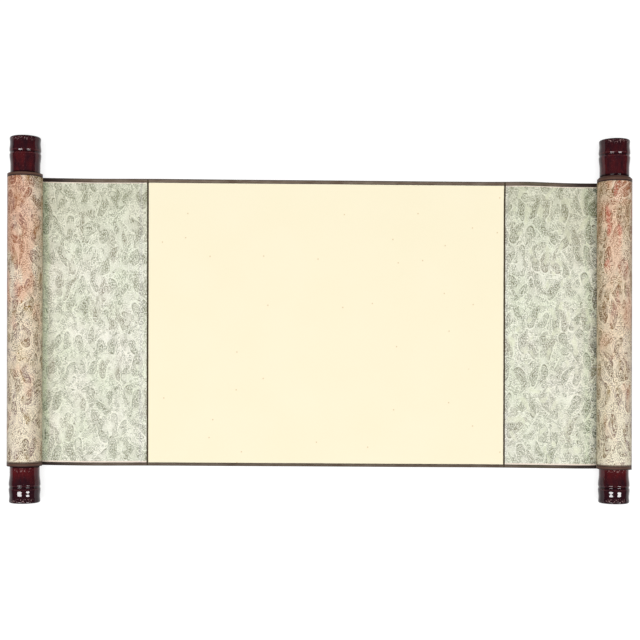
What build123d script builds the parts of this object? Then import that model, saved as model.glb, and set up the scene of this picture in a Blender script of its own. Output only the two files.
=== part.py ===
from build123d import *
from itertools import accumulate
import os

# A blank paper handscroll lying open on a table, in millimetres.
# The sheet is a laminate. Its back is one strip of brocade. Its face is a field of
# paper between two brocade panels, with a thin strip of piping where they meet.
# A binding is folded round both long edges. Each end of the sheet is wound face
# inwards round a wooden rod, and a turned knob is glued into each end of a rod.
# Origin: on the table, under the middle of the scroll. +X runs along the sheet,
# +Y runs along the rods to the upper edge of the sheet, and +Z is up.

# Sheet, seen from above, with each panel measured to the line under its roll
face_height = 286.0
paper_length = 354.9
left_panel_flat = 117.1
right_panel_flat = 105.1
piping_width = 1.8

# Layers of the sheet
cover_thickness = 0.25
face_thickness = 0.25
binding_thickness = 0.12
binding_front_width = 3.8
binding_back_width = 3.5

# Winding of both ends
half_turns = 9
turn_gap = 0.18
glue_line = 0.05

# Rods
rod_radius = 13.35
rod_chamfer = 0.5
rod_overhang = 0.3
bore_clearance = 0.1
bore_spare_depth = 1.0

# Knobs, outwards from the shoulder on the rod, each run up to the radius of its name
tenon_radius = 6.0
tenon_length = 16.0
tenon_chamfer = 0.8
neck_radius = 14.4
neck_run = 8.0
inner_lip_radius = 15.25
inner_lip_run = 10.0
groove_radius = 14.85
groove_run = 2.6
outer_lip_radius = 15.3
outer_lip_run = 2.2
waist_radius = 14.5
waist_run = 6.5
flare_radius = 15.05
flare_run = 4.9
rim_width = 1.5
rim_run = 1.6
end_dome = 0.6

SIDES = {"left": -1, "right": 1}
EDGES = {"lower": -1, "upper": 1}
PANEL_FLATS = {"left": left_panel_flat, "right": right_panel_flat}
KNOB_STATIONS = [
    (neck_radius, neck_run),
    (inner_lip_radius, inner_lip_run),
    (groove_radius, groove_run),
    (outer_lip_radius, outer_lip_run),
    (waist_radius, waist_run),
    (flare_radius, flare_run),
    (flare_radius - rim_width, rim_run),
]

# Thicknesses and places that follow from the sizes above
sheet_thickness = cover_thickness + face_thickness
bound_thickness = sheet_thickness + binding_thickness
half_pitch = (bound_thickness + turn_gap) / 2
roll_radius = rod_radius + glue_line + bound_thickness + (half_turns - 1) * half_pitch
half_spacing = (left_panel_flat + paper_length + right_panel_flat) / 2 + piping_width
paper_reach = {name: half_spacing - flat - piping_width for name, flat in PANEL_FLATS.items()}
half_face = face_height / 2
cover_edge = half_face - binding_back_width
front_leg_edge = half_face - binding_front_width
sheet_edge = half_face + binding_thickness
rod_end = sheet_edge + rod_overhang
knob_reaches = list(accumulate(run for radius, run in KNOB_STATIONS))
knob_profile = [(radius, reach) for (radius, run), reach in zip(KNOB_STATIONS, knob_reaches)]
knob_length = knob_reaches[-1] + end_dome


def turn_centre(side, index):
    """Centre of one half turn in the section, where 0 is the outermost half turn."""
    return (side * half_spacing, roll_radius + (index % 2) * half_pitch)


def turn_radius(index, depth):
    """Radius of one half turn at a depth inwards from the back of the sheet."""
    return roll_radius - index * half_pitch - depth


def wound_line(side, depth):
    """Half turns of one roll at one depth, from the flat sheet in to the rod."""
    with BuildLine() as turns:
        for index in range(half_turns):
            x, height = turn_centre(side, index)
            radius = turn_radius(index, depth)
            bulge = side * radius if index % 2 == 0 else -side * radius
            ThreePointArc((x, height - radius), (x + bulge, height), (x, height + radius))
    return turns.edges()


def sheet_end(side, back, front):
    """Cut across the sheet where the winding stops on the rod."""
    last = half_turns - 1
    x, height = turn_centre(side, last)
    towards = 1 if last % 2 == 0 else -1
    with BuildLine() as cut:
        Line(*[(x, height + towards * turn_radius(last, depth)) for depth in (back, front)])
    return cut.edges()


def whole_strip(back, front):
    """Section of a layer that runs from rod to rod, between two depths."""
    with BuildLine() as flat:
        for depth in (back, front):
            Line((-half_spacing, depth), (half_spacing, depth))
    outline = flat.edges()
    for side in SIDES.values():
        outline += wound_line(side, back) + wound_line(side, front) + sheet_end(side, back, front)
    return outline


def panel_strip(side, reach, back, front):
    """Section of a layer that starts at a reach from the middle and runs into one roll."""
    seam = side * reach
    with BuildLine() as flat:
        for depth in (back, front):
            Line((seam, depth), (side * half_spacing, depth))
        Line((seam, back), (seam, front))
    return flat.edges() + wound_line(side, back) + wound_line(side, front) + sheet_end(side, back, front)


def section_at(upper_y):
    """Upright plane across the sheet, from which a positive extrude runs towards -Y."""
    return Plane(origin=(0, upper_y, 0), x_dir=(1, 0, 0), z_dir=(0, -1, 0))


def ogee(start, end):
    """S-shaped stretch of a turned profile, parallel to the axis at both its ends."""
    middle = ((start[0] + end[0]) / 2, (start[1] + end[1]) / 2)
    first_arc = TangentArc(start, middle, tangent=(0, 1))
    TangentArc(middle, end, tangent=first_arc % 1)


os.makedirs("parts", exist_ok=True)

# Brocade cover: the whole back of the sheet, trimmed where the binding takes over
with BuildPart() as cover_brocade:
    with BuildSketch(section_at(cover_edge)):
        make_face(whole_strip(0, cover_thickness))
    extrude(amount=2 * cover_edge)
cover_brocade.part.label = "cover_brocade"
export_step(cover_brocade.part, "parts/cover_brocade.step")

# Paper field between the two strips of piping
with BuildPart() as paper_field:
    with BuildSketch(Plane.XY.offset(cover_thickness)):
        with Locations(((paper_reach["right"] - paper_reach["left"]) / 2, 0)):
            Rectangle(paper_length, face_height)
    extrude(amount=face_thickness)
paper_field.part.label = "paper_field"
export_step(paper_field.part, "parts/paper_field.step")

# Piping and face brocade, one of each on both sides of the paper
for side_name, side in SIDES.items():
    with BuildPart() as piping:
        with BuildSketch(Plane.XY.offset(cover_thickness)):
            with Locations((side * (paper_reach[side_name] + piping_width / 2), 0)):
                Rectangle(piping_width, face_height)
        extrude(amount=face_thickness)
    piping.part.label = f"{side_name}_piping"
    export_step(piping.part, f"parts/{side_name}_piping.step")

    with BuildPart() as brocade_panel:
        with BuildSketch(section_at(half_face)):
            reach = paper_reach[side_name] + piping_width
            make_face(panel_strip(side, reach, cover_thickness, sheet_thickness))
        extrude(amount=face_height)
    brocade_panel.part.label = f"{side_name}_brocade_panel"
    export_step(brocade_panel.part, f"parts/{side_name}_brocade_panel.step")

# Edge binding: a back leg, the fold over the edge and a front leg, right round both rolls
for edge_name, edge in EDGES.items():
    back_leg_top = max(edge * cover_edge, edge * half_face)
    fold_top = max(edge * half_face, edge * sheet_edge)
    front_leg_top = max(edge * front_leg_edge, edge * half_face)
    with BuildPart() as binding:
        with BuildSketch(section_at(back_leg_top)):
            make_face(whole_strip(0, cover_thickness))
        extrude(amount=binding_back_width)
        with BuildSketch(section_at(fold_top)):
            make_face(whole_strip(0, bound_thickness))
        extrude(amount=binding_thickness)
        with BuildSketch(section_at(front_leg_top)):
            make_face(whole_strip(sheet_thickness, bound_thickness))
        extrude(amount=binding_front_width)
    binding.part.label = f"{edge_name}_binding"
    export_step(binding.part, f"parts/{edge_name}_binding.step")

# Rods, with a blind bore in each end for a tenon
for side_name, side in SIDES.items():
    rod_centre = turn_centre(side, half_turns - 1)
    with BuildPart() as rod:
        with BuildSketch(section_at(rod_end)):
            with Locations(rod_centre):
                Circle(rod_radius)
        extrude(amount=2 * rod_end)
        chamfer(rod.faces().filter_by(Axis.Y).edges(), rod_chamfer)
        with Locations(*rod.faces().filter_by(Axis.Y)):
            Hole(tenon_radius + bore_clearance, depth=tenon_length + bore_spare_depth)
    rod.part.label = f"{side_name}_rod"
    export_step(rod.part, f"parts/{side_name}_rod.step")

    # Knob: a tenon, a neck that widens to two lips with a groove between, a waist
    # and a flared rim, turned about the rod's own axis
    for edge_name, edge in EDGES.items():
        seat = Plane(
            origin=(rod_centre[0], edge * rod_end, rod_centre[1]),
            x_dir=(1, 0, 0),
            z_dir=(0, 0, edge),
        )
        with BuildPart() as knob:
            with BuildSketch(seat):
                with BuildLine():
                    Polyline(
                        (0, knob_length),
                        (0, -tenon_length),
                        (tenon_radius - tenon_chamfer, -tenon_length),
                        (tenon_radius, -tenon_length + tenon_chamfer),
                        (tenon_radius, 0),
                        (neck_radius, 0),
                        knob_profile[0],
                    )
                    for start, end in zip(knob_profile[:-1], knob_profile[1:-1]):
                        ogee(start, end)
                    TangentArc(knob_profile[-2], knob_profile[-1], tangent=(0, 1))
                    TangentArc((0, knob_length), knob_profile[-1], tangent=(1, 0))
                make_face()
            revolve(axis=Axis(seat.origin, seat.y_dir))
        knob.part.label = f"{side_name}_{edge_name}_knob"
        export_step(knob.part, f"parts/{side_name}_{edge_name}_knob.step")
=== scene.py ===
from collections import namedtuple
from math import cos, exp, pi, sin, sqrt

import bmesh
import bpy
from mathutils import Euler, Matrix, Vector


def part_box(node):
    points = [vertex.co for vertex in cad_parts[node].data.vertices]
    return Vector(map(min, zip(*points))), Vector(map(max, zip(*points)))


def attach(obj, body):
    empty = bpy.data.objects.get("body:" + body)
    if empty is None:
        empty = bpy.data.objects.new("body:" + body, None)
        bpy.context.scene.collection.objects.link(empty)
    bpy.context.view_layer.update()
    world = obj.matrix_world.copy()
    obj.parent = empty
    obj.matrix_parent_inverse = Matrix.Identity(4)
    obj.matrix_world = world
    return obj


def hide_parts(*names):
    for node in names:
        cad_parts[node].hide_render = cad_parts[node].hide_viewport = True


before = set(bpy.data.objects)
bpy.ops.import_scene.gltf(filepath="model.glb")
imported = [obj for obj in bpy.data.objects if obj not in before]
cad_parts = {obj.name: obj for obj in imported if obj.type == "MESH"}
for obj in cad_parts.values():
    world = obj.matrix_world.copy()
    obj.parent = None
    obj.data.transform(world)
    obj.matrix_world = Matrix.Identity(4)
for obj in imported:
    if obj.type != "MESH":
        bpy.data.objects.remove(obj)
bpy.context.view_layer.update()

# A blank handscroll lying open, seen from straight above. Lengths are in metres.
# The sheet is laid out flat on the bench first: a run along it, a height across it
# and a depth up from its back. One function then winds both ends round the rods.

MM = 0.001

# Sizes that the solids give
rod_low, rod_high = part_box("right_rod")
paper_low, paper_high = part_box("paper_field")
binding_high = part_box("upper_binding")[1]
cover_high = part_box("cover_brocade")[1]
roll_line = (rod_low.x + rod_high.x) / 2
rod_radius = (rod_high.x - rod_low.x) / 2
rod_end = rod_high.y
half_face = paper_high.y
sheet_edge = binding_high.y
cover_edge = cover_high.y
cover_thickness = paper_low.z
sheet_thickness = paper_high.z
binding_thickness = sheet_edge - half_face
roll_radius = cover_high.z / 2

# Winding: the sheet ends after this many half turns, glued to the rod
half_turns = 9
glue_line = 0.05 * MM
bound_thickness = sheet_thickness + binding_thickness
half_pitch = (roll_radius - rod_radius - glue_line - bound_thickness) / (half_turns - 1)
middle_depth = sheet_thickness / 2

# Spacing of the columns and rows of a sheet's mesh
wound_step = 2.0 * MM
flat_step = 5.0 * MM
row_step = 8.0 * MM

# Meshes: points nearer than the weld are one point, and sharper edges than the crease stay sharp
weld = 0.002 * MM
crease_angle = 40 * pi / 180


def half_turn_length(index):
    """Length of the sheet in one half turn, where 0 is the outermost."""
    return pi * (roll_radius - index * half_pitch - middle_depth)


wound_length = sum(half_turn_length(index) for index in range(half_turns))
sheet_end = roll_line + wound_length


def wound_place(run, depth):
    """Place in the section of a roll, outwards and up from the line where the sheet leaves the table."""
    index = 0
    while index < half_turns - 1 and run > half_turn_length(index):
        run -= half_turn_length(index)
        index += 1
    angle = pi * (index + run / half_turn_length(index))
    radius = roll_radius - index * half_pitch - depth
    centre = roll_radius + (index % 2) * half_pitch
    return radius * sin(angle), centre - radius * cos(angle)


def swell(value, centre, width):
    """Smooth hump of height 1 round a centre."""
    return exp(-((value - centre) / width) ** 2)


def ease(value, start, stop):
    """0 before start, 1 after stop, and smooth between."""
    t = min(max((value - start) / (stop - start), 0), 1)
    return t * t * (3 - 2 * t)


# How the sheet lies: slow waves that die out by the rolls, and the upper edge of the right
# panel a little up
wave_height = 0.35 * MM
calm_start = roll_line - 40 * MM
calm_stop = roll_line - 8 * MM
curl_height = 4.5 * MM
curl_place = 208 * MM
curl_width = 26 * MM
curl_reach = 30 * MM


def lift(along, across):
    """How far the sheet stands up from the table."""
    calm = 1 - ease(abs(along), calm_start, calm_stop)
    long_wave = sin(along / (31 * MM) + across / (90 * MM))
    cross_wave = sin(across / (37 * MM) - along / (55 * MM))
    waves = 1 + 0.6 * long_wave + 0.4 * cross_wave
    curl = swell(along, curl_place, curl_width) * ease(across, half_face - curl_reach, half_face)
    return calm * (wave_height * waves + curl_height * curl)


# How far each stretch of the sheet has slipped along the rods, towards +Y
middle_slip = -1.8 * MM
skew_slip = -1.3 * MM
open_slip = -0.15 * MM
left_panel_slip = -0.4 * MM
right_panel_slip = -0.6 * MM
left_roll_slip = 0.5 * MM
right_roll_slip = 1.3 * MM
right_turns_loss = 0.7


def slip(along):
    """How far the sheet has slipped there, most at the right and less in the inner turns."""
    outer = middle_slip + skew_slip * min(max(along / roll_line, -1), 1)
    outer += left_roll_slip * ease(-along, roll_line + 5 * MM, roll_line + 50 * MM)
    outer += right_panel_slip * ease(along, 150 * MM, roll_line - 20 * MM)
    outer += open_slip * (1 - ease(abs(along), roll_line - 30 * MM, roll_line))
    outer += right_roll_slip * ease(along, roll_line, roll_line + 50 * MM)
    outer += left_panel_slip * swell(along, -225 * MM, 40 * MM)
    turns_in = ease(abs(along), roll_line + 100 * MM, roll_line + 300 * MM)
    return outer * (1 - turns_in * (right_turns_loss if along > 0 else 1))


def lay(place):
    """Takes a point of the flat sheet (along, across, depth) to where it lies on the scroll."""
    along, across, depth = place
    across += slip(along)
    if abs(along) <= roll_line:
        return Vector((along, across, max(depth + lift(along, across), 0)))
    side = 1 if along > 0 else -1
    outwards, up = wound_place(abs(along) - roll_line, depth)
    return Vector((side * (roll_line + outwards), across, max(up, 0)))


def placed(name, bm):
    """Puts a mesh into the scene as an object at the origin."""
    mesh = bpy.data.meshes.new(name)
    bm.to_mesh(mesh)
    bm.free()
    thing = bpy.data.objects.new(name, mesh)
    bpy.context.scene.collection.objects.link(thing)
    return thing


def finished(name, bm, laid=False):
    """Makes a piece of the scroll, smooth but for its creases, and laid where it is part of the sheet."""
    bmesh.ops.recalc_face_normals(bm, faces=bm.faces)
    for face in bm.faces:
        face.smooth = True
    for edge in bm.edges:
        edge.smooth = edge.calc_face_angle(0) < crease_angle
    if laid:
        for vert in bm.verts:
            vert.co = lay(vert.co)
    piece = placed(name, bm)
    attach(piece, "root")
    return piece


def columns(start, stop):
    """Stations along the sheet, wide apart in the flat and close together in the rolls."""
    stops = [start] + [edge for edge in (-roll_line, roll_line) if start < edge < stop] + [stop]
    stations = [start]
    for low, high in zip(stops, stops[1:]):
        step = wound_step if max(abs(low), abs(high)) > roll_line else flat_step
        count = max(round((high - low) / step), 1)
        stations += [low + (high - low) * (i + 1) / count for i in range(count)]
    return stations


def slab_section(edge, back, front):
    """Section across a layer: up one face of it and down the other, with the cloth's own height."""
    count = round(2 * edge / row_step)
    heights = [edge * (2 * i / count - 1) for i in range(count + 1)]
    loop = [(height, front) for height in heights] + [(height, back) for height in reversed(heights)]
    loop.append(loop[0])
    return loop, [height for height, depth in loop]


def running_length(loop):
    """Length round a section up to each of its points."""
    total = [0.0]
    for before, after in zip(loop, loop[1:]):
        total.append(total[-1] + sqrt((after[0] - before[0]) ** 2 + (after[1] - before[1]) ** 2))
    return total


def strip(name, stations, loop, widths):
    """A piece of the sheet: one closed section carried along its stations, then laid on the scroll."""
    last_column = len(stations) - 1
    last_row = len(loop) - 1
    bm = bmesh.new()
    bmesh.ops.create_grid(bm, x_segments=last_column, y_segments=last_row, size=0.5)
    cloth = bm.loops.layers.uv.new("cloth")
    spots = {}
    for vert in bm.verts:
        spots[vert] = (round((vert.co.x + 0.5) * last_column), round((vert.co.y + 0.5) * last_row))
    for face in bm.faces:
        for corner in face.loops:
            column, row = spots[corner.vert]
            corner[cloth].uv = (stations[column], widths[row])
    for vert, (column, row) in spots.items():
        vert.co = (stations[column], *loop[row])
    bmesh.ops.remove_doubles(bm, verts=bm.verts, dist=weld)
    caps = bmesh.ops.holes_fill(bm, edges=[edge for edge in bm.edges if edge.is_boundary])["faces"]
    for face in caps:
        for corner in face.loops:
            corner[cloth].uv = corner.vert.co.xy
    return finished(name, bm, laid=True)


# Binding: a narrow strip folded over the edge, with a faint crest where it is ironed down
legs = {"lower": 3.2 * MM, "upper": 3.8 * MM}
back_leg = 3.5 * MM
crest = 0.06 * MM
shoulder = 0.8 * MM
fold_start = 0.15 * MM
tuck = 0.05 * MM
swollen_back = 0.06 * MM


def binding_section(edge, leg):
    """Section round a binding, from the inner end of its front leg out over the fold and back inside."""
    outer = [
        (-leg, sheet_thickness + 0.02 * MM),
        (0.10 * MM - leg, bound_thickness),
        (0.9 * MM - leg, bound_thickness + 0.7 * crest),
        (-leg / 2, bound_thickness + crest),
        (-shoulder, bound_thickness + 0.7 * crest),
        (-fold_start, bound_thickness),
        (0.7 * binding_thickness, sheet_thickness),
        (binding_thickness, middle_depth),
        (0.7 * binding_thickness, 0.0),
        (-fold_start, -0.04 * MM),
        (-shoulder, -swollen_back),
        (0.5 * MM - back_leg, -swollen_back),
        (-back_leg, 0.0),
    ]
    inner = [(-back_leg, cover_thickness), (-tuck, cover_thickness), (-tuck, sheet_thickness)]
    loop = [(edge * (half_face + reach), depth) for reach, depth in outer + inner]
    loop.append(loop[0])
    return loop, running_length(loop)


def bind(name, edge, leg):
    """A binding, from the end of one roll to the end of the other."""
    loop, widths = binding_section(edge, leg)
    return strip(name, columns(-sheet_end, sheet_end), loop, widths)


# Piping: a thin cord of cloth on the seam between paper and brocade
piping_crest = 0.35 * MM
piping_columns = 8


def pipe(name, node):
    """A piping: an arched top, taken down to the cover."""
    low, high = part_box(node)
    rows = round(2 * half_face / row_step)
    bm = bmesh.new()
    bmesh.ops.create_grid(bm, x_segments=piping_columns, y_segments=rows, size=0.5)
    cloth = bm.loops.layers.uv.new("cloth")
    for vert in bm.verts:
        arch = sqrt(max(1 - (2 * vert.co.x) ** 2, 0))
        vert.co = (
            low.x + (vert.co.x + 0.5) * (high.x - low.x),
            2 * half_face * vert.co.y,
            sheet_thickness + piping_crest * arch,
        )
    top = list(bm.faces)
    raised = bmesh.ops.extrude_face_region(bm, geom=top)["geom"]
    for vert in raised:
        if isinstance(vert, bmesh.types.BMVert):
            vert.co.z = cover_thickness
    for face in bm.faces:
        for corner in face.loops:
            corner[cloth].uv = corner.vert.co.xy
    return finished(name, bm, laid=True)


# Knobs: turned, with a tenon in the rod, a neck, two lips round a groove, a waist and a flared rim
tenon_radius = 6.0 * MM
tenon_length = 16.0 * MM
shoulder_round = 0.4 * MM
knob_stations = [
    (14.4 * MM, 1.0 * MM),
    (14.4 * MM, 8.0 * MM),
    (15.25 * MM, 18.0 * MM),
    (14.75 * MM, 20.4 * MM),
    (15.3 * MM, 22.6 * MM),
    (14.72 * MM, 29.8 * MM),
    (15.05 * MM, 34.2 * MM),
]
rim_round = 1.5 * MM
end_dome = 0.6 * MM
knob_length = 36.4 * MM
curve_steps = 8
spin_steps = 96


def knob_profile():
    """Turned outline as (radius, reach from the shoulder), from the tenon's end to the knob's end."""
    points = [(0, -tenon_length), (tenon_radius, -tenon_length), (tenon_radius, 0)]
    first = knob_stations[0][0]
    points += [(first - shoulder_round, 0), (first - 0.3 * shoulder_round, 0.3 * shoulder_round)]
    points.append((first, shoulder_round))
    for (r0, y0), (r1, y1) in zip(knob_stations, knob_stations[1:]):
        for step in range(1, curve_steps + 1):
            t = step / curve_steps
            points.append((r0 + (r1 - r0) * (1 - cos(pi * t)) / 2, y0 + (y1 - y0) * t))
    flare, reach = knob_stations[-1]
    rim_end = knob_length - end_dome
    for step in range(1, curve_steps + 1):
        turn = pi / 2 * step / curve_steps
        points.append((flare - rim_round * (1 - cos(turn)), reach + (rim_end - reach) * sin(turn)))
    inner = flare - rim_round
    for step in range(1, curve_steps):
        share = 1 - step / curve_steps
        points.append((inner * share, knob_length - end_dome * share ** 2))
    points.append((0, knob_length))
    return points


def turn_knob(name, node):
    """A knob, turned about the axis of its solid."""
    low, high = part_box(node)
    x = (low.x + high.x) / 2
    z = (low.z + high.z) / 2
    upper = 1 if high.y > 0 else -1
    bm = bmesh.new()
    outline = [bm.verts.new((x + radius, upper * (rod_end + reach), z)) for radius, reach in knob_profile()]
    edges = [bm.edges.new(pair) for pair in zip(outline, outline[1:])]
    bmesh.ops.spin(
        bm,
        geom=outline + edges,
        cent=(x, 0, z),
        axis=(0, 1, 0),
        angle=2 * pi,
        steps=spin_steps,
        use_merge=True,
    )
    bmesh.ops.remove_doubles(bm, verts=bm.verts, dist=weld)
    return finished(name, bm)


def srgb(red, green, blue):
    """Colour as a screen shows it, 0 to 255, as the linear colour that a shader takes."""
    steps = [value / 255 for value in (red, green, blue)]
    return tuple(s / 12.92 if s <= 0.04045 else ((s + 0.055) / 1.055) ** 2.4 for s in steps) + (1.0,)


def grey(level):
    """Linear grey."""
    return (level, level, level, 1.0)


class Value:
    """A number that changes over a surface. Sums and products on it add the nodes."""

    def __init__(self, nodes, socket):
        self.nodes = nodes
        self.socket = socket

    def math(self, operation, *others, clamp=False):
        settings = {"operation": operation, "use_clamp": clamp}
        return self.nodes.value("ShaderNodeMath", settings, dict(enumerate((self,) + others)))

    def flipped(self, operation, other):
        return self.nodes.value("ShaderNodeMath", {"operation": operation}, {0: other, 1: self})

    def __add__(self, other):
        return self.math("ADD", other)

    def __sub__(self, other):
        return self.math("SUBTRACT", other)

    def __mul__(self, other):
        return self.math("MULTIPLY", other)

    def __truediv__(self, other):
        return self.math("DIVIDE", other)

    __radd__ = __add__
    __rmul__ = __mul__

    def __rsub__(self, other):
        return self.flipped("SUBTRACT", other)

    def __rtruediv__(self, other):
        return self.flipped("DIVIDE", other)

    def __abs__(self):
        return self.math("ABSOLUTE")

    def sin(self):
        return self.math("SINE")

    def cos(self):
        return self.math("COSINE")

    def root(self):
        return self.math("SQRT")

    def over(self, edge, soft):
        """0 where the value is under the edge, 1 where it is over."""
        return (self - edge).math("MULTIPLY_ADD", 1 / soft, 0.5, clamp=True)

    def under(self, edge, soft):
        """1 where the value is under the edge, 0 where it is over."""
        return 1 - self.over(edge, soft)

    def band(self, centre, half_width, soft):
        """1 within half a width of the centre."""
        return abs(self - centre).under(half_width, soft)

    def most(self, other):
        return self.math("MAXIMUM", other)

    def least(self, other):
        return self.math("MINIMUM", other)


class Nodes:
    """A node tree and the shader that it feeds. The shader's constants are set on its own sockets."""

    def __init__(self, tree, shader, constants):
        self.tree = tree
        self.shader = tree.nodes[shader]
        for socket, constant in constants.items():
            self.shader.inputs[socket.replace("_", " ")].default_value = constant

    def node(self, kind, settings, inputs):
        """Adds a node: its settings first, then the values or links of its sockets."""
        node = self.tree.nodes.new(kind)
        for name, setting in settings.items():
            setattr(node, name, setting)
        for key, given in inputs.items():
            if isinstance(given, Value):
                self.tree.links.new(given.socket, node.inputs[key])
            else:
                node.inputs[key].default_value = given
        return node

    def values(self, kind, settings, inputs, outputs):
        """Several outputs of a new node."""
        node = self.node(kind, settings, inputs)
        return [Value(self, node.outputs[key]) for key in outputs]

    def value(self, kind, settings, inputs, output=0):
        """One output of a new node."""
        return self.values(kind, settings, inputs, [output])[0]

    def mix(self, share, first, second):
        """Colour between two colours."""
        return self.value("ShaderNodeMix", {"data_type": "RGBA"}, {0: share, 6: first, 7: second}, output=2)

    def joined(self, x, y, z=0.0):
        """Vector of three numbers."""
        return self.value("ShaderNodeCombineXYZ", {}, {0: x, 1: y, 2: z})

    def parted(self, vector):
        """The three numbers of a vector."""
        return self.values("ShaderNodeSeparateXYZ", {}, {0: vector}, range(3))

    def lots(self, colour):
        """The three numbers of a colour that a scatter draws for each seat."""
        return self.values("ShaderNodeSeparateColor", {}, {0: colour}, range(3))

    def place(self):
        """Place on the flat cloth, in millimetres along and across it."""
        at = self.value("ShaderNodeUVMap", {"uv_map": "cloth"}, {})
        return [part / MM for part in self.parted(at)[:2]]

    def solid_place(self):
        """Place in the row's frame, in millimetres."""
        at = self.value("ShaderNodeTexCoord", {}, {}, output="Object")
        return [part / MM for part in self.parted(at)]

    def noise(self, x, y, z, detail=2.0):
        """Cloudy value round 0.5, at one cloud for each unit of the coordinates."""
        inputs = {"Vector": self.joined(x, y, z), "Scale": 1.0, "Detail": detail, "Roughness": 0.5}
        return self.value("ShaderNodeTexNoise", {"noise_dimensions": "3D"}, inputs)

    def scatter(self, x, y, spread, *outputs):
        """Scattered seats, one for each unit of the coordinates: the outputs named, of the nearest seat."""
        inputs = {"Vector": self.joined(x, y), "Scale": 1.0, "Randomness": spread}
        return self.values("ShaderNodeTexVoronoi", {"voronoi_dimensions": "2D"}, inputs, outputs)

    def looked_at(self):
        """1 where the eye, a gloss or a glass meets the surface, 0 where it only gives light."""
        rays = ("Is Camera Ray", "Is Glossy Ray", "Is Transmission Ray")
        by_camera, by_gloss, by_glass = self.values("ShaderNodeLightPath", {}, {}, rays)
        return by_camera.most(by_gloss).most(by_glass)

    def feeds(self, socket, given):
        """Links a value or a colour to the shader."""
        self.tree.links.new(given.socket, self.shader.inputs[socket])

    def bumped(self, height, distance, strength):
        """Feeds a height, 0 to 1, to the normal."""
        inputs = {"Height": height, "Distance": distance, "Strength": strength}
        self.feeds("Normal", self.value("ShaderNodeBump", {}, inputs))


class Finish(Nodes):
    """A material and its nodes."""

    def __init__(self, name, **constants):
        self.material = bpy.data.materials.new(name)
        self.material.use_nodes = True
        super().__init__(self.material.node_tree, "Principled BSDF", constants)


def ribs(run, pitch):
    """Ribs of a weave across a run: 1 on a rib and 0 between two."""
    return (run * 2 * pi / pitch).sin() * 0.5 + 0.5


def turned(x, y, angle):
    """Coordinates turned by an angle that may change over the surface."""
    c, s = angle.cos(), angle.sin()
    return x * c + y * s, y * c - x * s


def drops(f, x, y, width, height, spread, lean, half_width, half_length, curl):
    """Scattered curled drops: how far out from a drop's middle, 1 on its outline, and two lots of its own."""
    drawn_lots, seat = f.scatter(x / width, y / height, spread, "Color", "Position")
    lot, hand_lot, other = f.lots(drawn_lots)
    seat_x, seat_y, _ = f.parted(seat)
    dx = x - seat_x * width
    dy = y - seat_y * height
    hand = hand_lot.over(0.5, 0.001) * 2 - 1
    up = other.over(0.45, 0.001) * 2 - 1
    dx, dy = turned(dx * hand, dy * up, (lot - 0.5) * lean)
    run = dy / half_length
    tip = (run + 0.25).most(0.0)
    belly = (0.92 - run * 0.50).most(0.22) * half_width
    out = (dx - tip * tip * curl) / belly
    return (out * out + run * run).root(), lot, other


# What the paisley draws: leaves and the buds between them, the rings inside a leaf, the dark
# outlines and the pale rims beside them, the weave's dark grit and its white flecks, which are painted
# glints, where the drawing is torn, where the silk is plain, and two lots that differ from leaf to leaf
Paisley = namedtuple("Paisley", "leaf bud rings edge halo grit spark torn plain lot other")


def paisley(f, along, across, size):
    """Drawing that both silks share, at a size of 1 for the face."""

    def wander(width, height, seed, reach):
        """Pull that bends the drawing, so that no two leaves are alike."""
        return (f.noise(along / width, across / height, seed, detail=0.0) - 0.5) * reach

    x = along + wander(20, 28, 3.0, 12) + wander(6.5, 8, 31.0, 2.6)
    y = across + wander(20, 28, 17.0, 12) + wander(6.5, 10, 43.0, 2.6)
    leaves = {"width": 11.0, "height": 28.0, "spread": 0.56, "lean": 1.1}
    leaf_form = {"half_width": 3.7, "half_length": 13.0, "curl": 6.8}
    leaf, lot, other = drops(f, x / size, y / size, **leaves, **leaf_form)
    buds = {"width": 7.0, "height": 11.0, "spread": 0.9, "lean": 2.6}
    bud_form = {"half_width": 2.3, "half_length": 4.2, "curl": 1.9}
    bud = drops(f, x / size + 3.7, y / size + 41.0, **buds, **bud_form)[0]
    fine = f.noise(along, across / 1.3, 1.0, detail=1.0)
    frayed = fine - 0.5
    leaf = leaf + frayed * 0.26
    bud = bud + frayed * 0.4
    gap = leaf.over(1.18, 0.1)
    halo = leaf.band(1.17, 0.07, 0.08).most(leaf.band(0.80, 0.04, 0.08) * 0.7)
    bare = f.noise(along / 7, across / 10, 7.0, detail=0.0) + frayed * 0.16
    return Paisley(
        leaf=leaf.under(0.98, 0.14),
        bud=bud.under(0.92, 0.2) * gap,
        rings=(leaf * 17.0 + 0.6).sin().over(0.1, 1.0),
        edge=leaf.band(1.0, 0.06, 0.12).most(bud.band(0.97, 0.08, 0.16) * gap),
        halo=halo.most(bud.band(1.22, 0.08, 0.12) * gap),
        grit=fine.over(0.5, 0.13),
        spark=fine.under(0.40, 0.06),
        torn=f.noise(along / 3.2, across / 4.6, 21.0, detail=0.0).over(0.48, 0.3),
        plain=bare.over(0.62, 0.10),
        lot=lot,
        other=other,
    )


def woven(f, figure, across, colour):
    """Feeds a silk's colour and its raised figure and ribs."""
    f.feeds("Base Color", colour)
    f.bumped(figure * 0.6 + ribs(across, 0.8) * 0.3, 0.12 * MM, 0.6)
    return f.material


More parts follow.
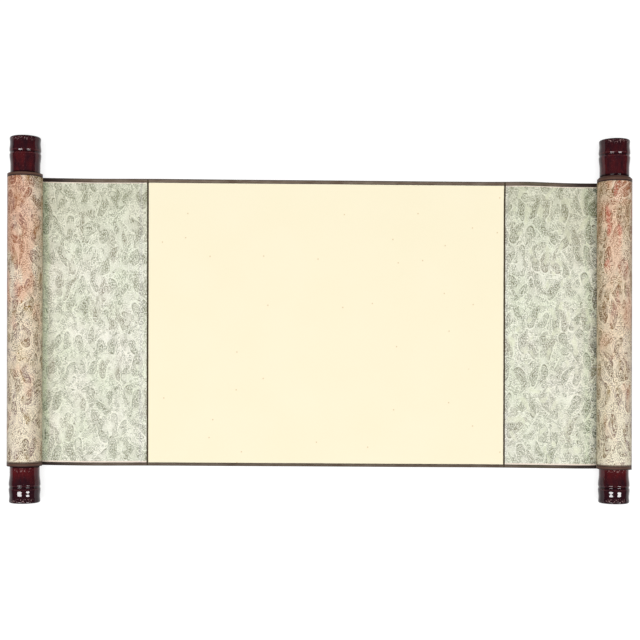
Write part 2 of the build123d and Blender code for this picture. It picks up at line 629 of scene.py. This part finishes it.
def face_brocade():
    """Pale mint silk with a silver-grey figure, yellower towards its upper edge and darker there in painted
    shade; painted shade, tinted green, beside the rolls; a bolder, darker figure by the right roll, partly
    painted shade; and white flecks that are painted glints.
    """
    f = Finish("face_brocade", Roughness=0.62, Specular_IOR_Level=0.2)
    along, across = f.place()
    p = paisley(f, along, across, 1.0)
    right = along.over(0, 1)
    # A bolder, darker figure by the right roll: partly the silk's own figure, partly painted shade of the
    # roll
    bold_and_shaded = along.over(274, 12)
    clouds = f.noise(along / 30, across / 42, 5.0)
    tone = f.noise(along / 11, across / 30, 9.0, detail=1.0) - 0.5
    # Towards its upper edge the face is yellower, and darker in painted shade
    shaded_head = (across + (clouds - 0.5) * 140).over(88, 60)
    # Painted shade beside the rolls, where the cloth runs in under them: darker and greener, and wider by the
    # right roll
    roll_side = (roll_line - roll_radius) / MM
    from_roll = (abs(along) - roll_side + (clouds - 0.5) * 12) / (2.1 + right * 4.9)
    shade_by_roll = from_roll.over(-0.85, 1.3) * (1 - right * from_roll.over(-0.5, 0.5) * 0.95)

    figure = p.leaf * (p.grit * 0.48 + p.rings * 0.30 + p.other * 0.10 + 0.15)
    figure = figure.most(p.bud * (p.grit * 0.50 + 0.14))
    figure = figure.most(p.edge * (p.grit * 0.20 + p.torn * 0.50 + 0.54))
    figure = figure.most(p.rings * p.torn * 0.20 + p.grit * (p.torn * 0.22 + 0.31))
    figure = figure.most(bold_and_shaded * (p.leaf * p.rings * 0.7).most(p.edge * 0.9))
    figure = figure * (1 - p.halo * (p.torn * 0.35 + 0.52)) * (1 - p.plain * 0.72) + p.plain * 0.12
    figure = figure * (bold_and_shaded * 1.3 + 1) + tone * 0.42 + shaded_head * 0.08 - 0.04 + right * 0.03 - bold_and_shaded * 0.05
    figure = figure.most(0.0).least(1.0)

    mint = srgb(238, 242, 220)
    ivory = srgb(252, 250, 236)
    stone = srgb(226, 226, 202)
    spring_green = srgb(212, 234, 186)
    lime_cream = srgb(232, 236, 196)
    pale = f.mix(clouds.over(0.5, 0.35), mint, ivory)
    # Painted shade and a yellower tint towards the upper edge
    pale = f.mix(shaded_head * 0.6, pale, stone)
    # Painted shade by the rolls turns the ground a darker green
    pale = f.mix(shade_by_roll * 0.40, pale, spring_green)
    pale = f.mix(right * p.plain * p.other.over(0.5, 0.3) * 0.3, pale, lime_cream)

    grey_olive = srgb(110, 113, 82)
    grey_sage = srgb(122, 121, 94)
    fawn = srgb(156, 138, 118)
    lichen = srgb(128, 130, 100)
    moss = srgb(70, 94, 54)
    petrol = srgb(58, 82, 84)
    dark = f.mix(p.lot.over(0.5, 0.6), grey_olive, grey_sage)
    dark = f.mix(p.other.over(0.78, 0.05) * 0.3, dark, fawn)
    dark = f.mix(shaded_head * 0.5, dark, lichen)
    # Painted shade by the rolls turns the figure moss green
    dark = f.mix(shade_by_roll * 0.65, dark, moss)
    dark = f.mix(bold_and_shaded * p.lot.over(0.45, 0.2) * 0.6, dark, petrol)

    glint_white = srgb(255, 253, 248)
    blush = srgb(250, 232, 216)
    grey_lilac = srgb(150, 138, 156)
    selvedge = abs(across).over(138.4, 0.6)
    seam = along.band(-179.1, 1.6, 2.0).most(along.band(186.4, 1.6, 2.0))
    colour = f.mix(figure, pale, dark)
    # White flecks: painted glints of the silk, fewer towards its upper edge
    colour = f.mix(p.spark * (0.5 - shaded_head * 0.3), colour, glint_white)
    colour = f.mix(selvedge * 0.8, colour, blush)
    colour = f.mix(seam * (p.grit * 0.35), colour, grey_lilac)
    return woven(f, figure, across, colour)


def back_brocade():
    """Fawn silk with a brown figure: salmon towards the upper ends of the rolls, most on the outer
    side of the left one, red in places on the right one, and straw or mauve here and there."""
    f = Finish("back_brocade", Roughness=0.62, Specular_IOR_Level=0.2)
    along, across = f.place()
    p = paisley(f, along, across, 0.94)
    right = along.over(0, 1)
    outer = along.under(0, 1) * abs(along).under(350, 16)
    # Painted shade on the inner sides of the rolls, which face the panels: a darker figure, turned olive
    inner = abs(along).over(roll_line / MM + 68, 16)
    # Painted shade on the outer sides of the rolls: greyed with a lilac cast on the left roll, a darker dusk
    # on the right
    outer_side_shade = abs(along).under(roll_line / MM + 34, 9)
    high = across.over(20, 240)
    end = across.over(126, 36)
    hem = across.under(1.2 - cover_edge / MM, 0.4)
    clouds = f.noise(along / 17, across / 40, 2.0, detail=1.0)
    drift = f.noise(along / 10, across / 26, 12.0, detail=1.0) - 0.5
    tint = f.noise(along / 9, across / 22, 21.0, detail=1.0) - 0.5
    flush = clouds + across.over(10, 120) * (outer * 0.08 + 0.15) + (p.lot - 0.5) * 0.14 + high * 0.08 - 0.08
    warm = flush.over(0.64, 0.16)
    mauve = tint.over(0.05, 0.12) * (1 - high * (right * 0.4 + 0.6))
    red = drift.under(-0.13, 0.08) * right * across.over(30, 60)

    rims = p.halo.most((1 - p.rings) * p.torn * 0.55)
    figure = p.grit * 0.74 + p.leaf * (p.rings * 0.40 + p.other * 0.12 + 0.13) + p.edge * 0.62 - 0.07
    figure = figure + high * (outer * 0.10 + right * 0.05 + 0.18)
    figure = figure + end * (0.24 - right * 0.05) + inner * 0.12 + drift * 0.34
    figure = figure * (1 - rims * (p.torn * 0.30 + 0.62)) * (1 - p.plain * 0.6) + p.plain * 0.08

    cream = srgb(253, 237, 214)
    fawn = srgb(248, 226, 198)
    ivory = srgb(250, 243, 219)
    tan = srgb(232, 200, 158)
    green_ivory = srgb(246, 246, 222)
    salmon = srgb(240, 188, 158)
    pale = f.mix(p.lot.over(0.5, 0.6), cream, fawn)
    pale = f.mix((1 - high) * 0.6, pale, ivory)
    pale = f.mix(right * high * (0.3 - end * 0.2), pale, tan)
    pale = f.mix(right * across.under(-70, 80) * 0.35, pale, green_ivory)
    pale = f.mix(warm * (outer * 0.3 + 0.30), pale, salmon)

    umber = srgb(98, 72, 44)
    chestnut = srgb(126, 82, 56)
    olive_brown = srgb(96, 80, 54)
    mustard = srgb(152, 120, 44)
    bronze = srgb(124, 84, 36)
    brick = srgb(164, 98, 70)
    plum = srgb(122, 90, 98)
    olive = srgb(118, 100, 44)
    dark = f.mix(p.other.over(0.5, 0.6), umber, chestnut)
    dark = f.mix((1 - high) * 0.5, dark, olive_brown)
    dark = f.mix(drift.over(0.08, 0.16) * 0.7, dark, mustard)
    dark = f.mix(right * high * (0.85 - end * 0.45), dark, bronze)
    dark = f.mix(warm * 0.7, dark, brick)
    dark = f.mix(mauve * 0.75, dark, plum)
    # Painted shade on the inner sides of the rolls, olive
    dark = f.mix(inner * 0.5, dark, olive)

    coral = srgb(212, 96, 84)
    lilac_shade = srgb(176, 168, 186)
    dusk_shade = srgb(104, 96, 116)
    brown_edge = srgb(88, 62, 48)
    colour = f.mix(figure.most(0.0).least(1.0), pale, dark)
    colour = f.mix(red * (p.grit * 0.30 + p.leaf * 0.20), colour, coral)
    # Painted shade on the rolls' outer sides
    colour = f.mix(outer_side_shade * 0.4, colour, f.mix(right, lilac_shade, dusk_shade))
    colour = f.mix(hem * 0.8, colour, brown_edge)
    return woven(f, figure, across, colour)


def sheet_of_paper():
    """Sized paper: cream and faintly cloudy, with a few straw flecks."""
    f = Finish("cream_paper", Roughness=0.75, Specular_IOR_Level=0.2)
    along, across = f.place()
    cloud = f.noise(along / 60, across / 60, 2.0)
    grain = f.noise(along / 1.2, across / 1.6, 4.0, detail=3.0)
    fleck_spacing = 26
    seat_lots, distance = f.scatter(along / fleck_spacing, across / fleck_spacing, 1.0, "Color", "Distance")
    near = (distance * fleck_spacing).under(0.65, 0.6)
    fleck = near * f.lots(seat_lots)[0].over(0.72, 0.01)
    cream = srgb(253, 243, 211)
    light_cream = srgb(255, 246, 217)
    fibre = srgb(226, 206, 160)
    straw = srgb(214, 178, 118)
    colour = f.mix(cloud, cream, light_cream)
    colour = f.mix((grain - 0.5) * 0.10 + 0.02, colour, fibre)
    colour = f.mix(fleck * 0.6, colour, straw)
    f.feeds("Base Color", colour)
    f.bumped(grain, 0.03 * MM, 0.5)
    return f.material


def ribbed_silk(name, first, second, groove):
    """Ribbed brown silk: its nodes, its place and its colour, for more to be laid over."""
    f = Finish(name, Roughness=0.55, Specular_IOR_Level=0.3)
    along, across = f.place()
    rib = ribs(along + across * 0.5, 0.7)
    mottle = f.noise(along / 14, across / 3, 1.0)
    colour = f.mix(mottle.over(0.5, 0.4), first, second)
    colour = f.mix(rib * 0.25, colour, groove)
    f.bumped(rib, 0.05 * MM, 0.5)
    return f, along, across, colour


def piping_silk():
    """Dark brown silk for the two pipings."""
    bark = srgb(62, 50, 34)
    light_bark = srgb(84, 72, 54)
    soot = srgb(36, 28, 20)
    f, _, _, colour = ribbed_silk("piping_silk", bark, light_bark, soot)
    f.feeds("Base Color", colour)
    return f.material


def binding_silk():
    """Brown silk, redder round the rolls, with painted shade along its edges and fold, and painted shade,
    nearly black, on the flat beside the rolls.
    """
    cocoa = srgb(104, 86, 72)
    light_cocoa = srgb(132, 118, 104)
    bark = srgb(60, 50, 42)
    russet = srgb(90, 55, 44)
    binding_shade_black = srgb(34, 22, 24)
    slate_brown = srgb(54, 46, 40)
    moss = srgb(58, 62, 38)
    f, along, across, colour = ribbed_silk("binding_silk", cocoa, light_cocoa, bark)
    fold = (legs["upper"] + 2 * binding_thickness) / MM
    back_edge = fold + back_leg / MM
    wound = abs(along).over(roll_line / MM, 2)
    # Painted shade of the rolls on the flat binding beside them
    shade_by_roll = abs(along).band(268, 24, 30) * (1 - wound)
    # Painted shade along the inner edge of the front leg, along the fold and along the edge of the back leg
    edge_and_fold_shade = across.under(0.55, 0.4).most(across.band(fold, 0.7, 0.5)).most(across.band(back_edge, 0.9, 0.5))
    low = f.solid_place()[1].under(0, 1)
    by_curl = along.band(215, 14, 12)
    colour = f.mix(wound * 0.75, colour, russet)
    # Painted shade, nearly black
    colour = f.mix((edge_and_fold_shade * 0.8).most(shade_by_roll * 0.85), colour, binding_shade_black)
    colour = f.mix(low * (1 - wound) * 0.35, colour, slate_brown)
    colour = f.mix(by_curl * 0.4, colour, moss)
    f.feeds("Base Color", colour)
    return f.material


def lacquer():
    """Dark red lacquer, mottled, under an uneven coat: nearly black in the hollows from painted shade and
    dirt, with a painted dark line round the end's rim, lighter in patches on the lips, and with painted
    glints near the ends.
    """
    f = Finish("red_lacquer", Roughness=0.45, Specular_IOR_Level=0.0, Coat_Roughness=0.06, Coat_IOR=1.95)
    x, y, z = f.solid_place()
    streak = f.noise(x / 4, y / 11, z / 4, detail=3.0)
    fine = f.noise(x / 1.1, y / 1.6, z / 1.1)
    reach = abs(y) - rod_end / MM
    low = y.under(0, 1)
    # Pale specks on the top of the knobs near their ends, and near the necks of the lower knobs: painted
    # glints of the coat
    glint_places = reach.band(33, 1.6, 2).most(reach.band(3.2, 1.4, 2) * low)
    lacquer_glints = fine.over(0.60, 0.12) * glint_places * z.over(28, 3)
    # Nearly black in the groove from dirt and painted shade, at the shoulder in painted shade, and round the
    # end's rim in a painted dark reflection
    hollow_shade_and_dirt = reach.band(20.4, 0.5, 0.7).most(reach.band(35.2, 0.3, 0.5)).most(reach.under(1.2, 1.0))
    # Lighter, pinker patches along the crests of the two lips
    lip = reach.band(18.6, 0.25, 0.5).most(reach.band(22.4, 0.25, 0.5))

    black_cherry = srgb(48, 22, 29)
    cherry = srgb(80, 25, 29)
    dust = srgb(104, 52, 50)
    night_red = srgb(34, 16, 24)
    neck_red = srgb(112, 22, 24)
    night_plum = srgb(38, 20, 28)
    glint_pink = srgb(196, 164, 162)
    lacquer_shade_black = srgb(20, 8, 12)
    lip_red = srgb(128, 78, 78)
    colour = f.mix(streak.over(0.5, 0.32), black_cherry, cherry)
    colour = f.mix(fine.over(0.62, 0.2) * 0.35, colour, dust)
    colour = f.mix(reach.over(24, 16) * 0.5, colour, night_red)
    colour = f.mix(low * reach.under(8, 8) * 0.3, colour, neck_red)
    colour = f.mix(low * reach.over(14, 12) * 0.6, colour, night_plum)
    # Painted glints
    colour = f.mix(lacquer_glints * 0.6, colour, glint_pink)
    # Painted shade and dirt in the hollows, painted dark reflection at the rim
    colour = f.mix(hollow_shade_and_dirt * 0.8, colour, lacquer_shade_black)
    colour = f.mix(lip * fine.over(0.45, 0.3) * 0.45, colour, lip_red)
    f.feeds("Base Color", colour)

    slant = f.value("ShaderNodeLayerWeight", {}, {"Blend": 0.5}, output=1)
    f.feeds("Coat Weight", 1 - slant.over(0.18, 0.1) * slant.under(0.66, 0.5) * 0.75)
    f.bumped(fine, 0.04 * MM, 0.4)
    return f.material


def rod_wood():
    """Plain pale wood with a straight grain along the rod, lacquered at its ends."""
    f = Finish("rod_wood", Roughness=0.6)
    x, y, z = f.solid_place()
    grain = f.noise(x / 1.2, y / 40, z / 1.2, detail=4.0)
    lacquered_end = abs(y).over(rod_end / MM - 4, 0.5)
    late_wood = srgb(150, 112, 74)
    early_wood = srgb(205, 170, 124)
    dark_red = srgb(58, 20, 26)
    colour = f.mix(grain, late_wood, early_wood)
    f.feeds("Base Color", f.mix(lacquered_end, colour, dark_red))
    f.bumped(grain, 0.05 * MM, 0.5)
    return f.material


face_silk = face_brocade()
back_silk = back_brocade()
brown_silk = binding_silk()
dark_silk = piping_silk()
cream_paper = sheet_of_paper()
red_lacquer = lacquer()
pale_wood = rod_wood()


def dressed(piece, material, node):
    """Gives a piece its finish and sets it in the place of its solid."""
    piece.data.materials.append(material)
    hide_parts(node)
    return piece


# Pieces of the sheet
sides = {"left": -1, "right": 1}

whole_run = columns(-sheet_end, sheet_end)
cover = strip("cover_brocade_cloth", whole_run, *slab_section(cover_edge, 0.0, cover_thickness))
dressed(cover, back_silk, "cover_brocade")

face_layer = slab_section(half_face, cover_thickness, sheet_thickness)
seams = {}
panels = {}
for side_name, side in sides.items():
    piping_low, piping_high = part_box(f"{side_name}_piping")
    seams[side_name] = max(abs(piping_low.x), abs(piping_high.x))
    start, stop = sorted((side * seams[side_name], side * sheet_end))
    panel = strip(f"{side_name}_panel_silk", columns(start, stop), *face_layer)
    panels[side_name] = dressed(panel, face_silk, f"{side_name}_brocade_panel")

paper = strip("paper_sheet", columns(paper_low.x, paper_high.x), *face_layer)
dressed(paper, cream_paper, "paper_field")

for side_name in sides:
    node = f"{side_name}_piping"
    dressed(pipe(f"{node}_cord", node), dark_silk, node)

for edge_name, edge in (("lower", -1), ("upper", 1)):
    node = f"{edge_name}_binding"
    binding = bind(f"{node}_strip", edge, legs[edge_name])
    dressed(binding, brown_silk, node)

# Knobs and rods
for side_name in sides:
    for edge_name in ("upper", "lower"):
        knob = turn_knob(f"{side_name}_{edge_name}_turned_knob", f"{side_name}_{edge_name}_knob")
        dressed(knob, red_lacquer, f"{side_name}_{edge_name}_knob")

for side_name in sides:
    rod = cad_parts[f"{side_name}_rod"]
    rod.data.materials.clear()
    rod.data.materials.append(pale_wood)

# What each cloth was cut to
2 * sheet_end
for side_name, panel in panels.items():
    cut_length = sheet_end - seams[side_name]

# Floor, pale and plain: it takes the object's shadow, and where it is looked at it glows white
floor_size = 12.0
floor_gap = 0.2 * MM
bm = bmesh.new()
bmesh.ops.create_grid(bm, x_segments=1, y_segments=1, size=floor_size / 2)
bmesh.ops.translate(bm, verts=bm.verts, vec=(0, 0, -floor_gap))
ground = placed("floor", bm)

floor_finish = Finish(
    "floor_white", Roughness=0.9, Specular_IOR_Level=0.0, Base_Color=grey(0.34), Emission_Strength=1.0
)
floor_x, floor_y, _ = floor_finish.solid_place()
far_off = ((floor_x * floor_x + floor_y * floor_y).root() * MM).over(2.1, 1.8)
white = floor_finish.mix(far_off, grey(0.77), grey(1.0))
glow = floor_finish.mix(floor_finish.looked_at(), grey(0.0), white)
floor_finish.feeds("Emission Color", glow)
ground.data.materials.append(floor_finish.material)

# Room: white where it is looked at, dimmer as light
room_light = 0.25
world = bpy.data.worlds.new("room")
bpy.context.scene.world = world
world.use_nodes = True
room = Nodes(world.node_tree, "Background", {"Color": grey(1.0)})
room.feeds("Strength", room.looked_at() * (1 - room_light) + room_light)


def softbox(name, place, width, height, power, mirrored=True):
    """A soft lamp turned to the scroll, with its width across the rods and its height along them."""
    data = bpy.data.lights.new(name, "AREA")
    data.shape = "ELLIPSE"
    data.size = width
    data.size_y = height
    data.energy = power
    light = bpy.data.objects.new(name, data)
    light.location = place
    back = Vector(place).normalized()
    side = Vector((0, 1, 0)).cross(back).normalized()
    light.rotation_euler = Matrix((side, back.cross(side), back)).transposed().to_euler()
    light.visible_camera = False
    light.visible_glossy = mirrored
    bpy.context.scene.collection.objects.link(light)


softbox("softbox_over", (-0.1, -0.1, 3.0), width=2.2, height=2.2, power=56.0, mirrored=False)
softbox("softbox_left", (-1.6, -1.1, 2.8), width=1.9, height=0.52, power=18.0)
softbox("softbox_right", (1.75, -1.1, 2.8), width=1.6, height=0.48, power=15.5)

# Dark studio above the table, seen only by gloss
studio_radius = 6.5
bm = bmesh.new()
bmesh.ops.create_uvsphere(bm, u_segments=48, v_segments=24, radius=studio_radius)
whole_ball = bm.verts[:] + bm.edges[:] + bm.faces[:]
bmesh.ops.bisect_plane(bm, geom=whole_ball, plane_co=(0, 0, 0), plane_no=(0, 0, 1), clear_inner=True)
studio = placed("dark_studio", bm)
studio.visible_camera = False
studio.visible_diffuse = False
studio.visible_shadow = False
studio.data.materials.append(Finish("studio_black", Base_Color=grey(0.02), Roughness=0.9).material)

# Camera, straight above, a little towards the lower edge
image_width = 640
focal_pixels = 1159.3
sensor_width = 36.0
eye = (-16.85 * MM, -49.73 * MM, 1160 * MM)
roll_angle = 0.00236
tilt_angle = -0.01431
frame_shift = 0.08
camera_data = bpy.data.cameras.new("camera")
camera_data.sensor_width = sensor_width
camera_data.lens = focal_pixels * sensor_width / image_width
camera_data.shift_y = frame_shift
camera = bpy.data.objects.new("camera", camera_data)
camera.location = eye
camera.rotation_euler = Euler((0, tilt_angle, roll_angle))
bpy.context.scene.collection.objects.link(camera)
bpy.context.scene.camera = camera
bpy.context.scene.view_settings.view_transform = "Standard"
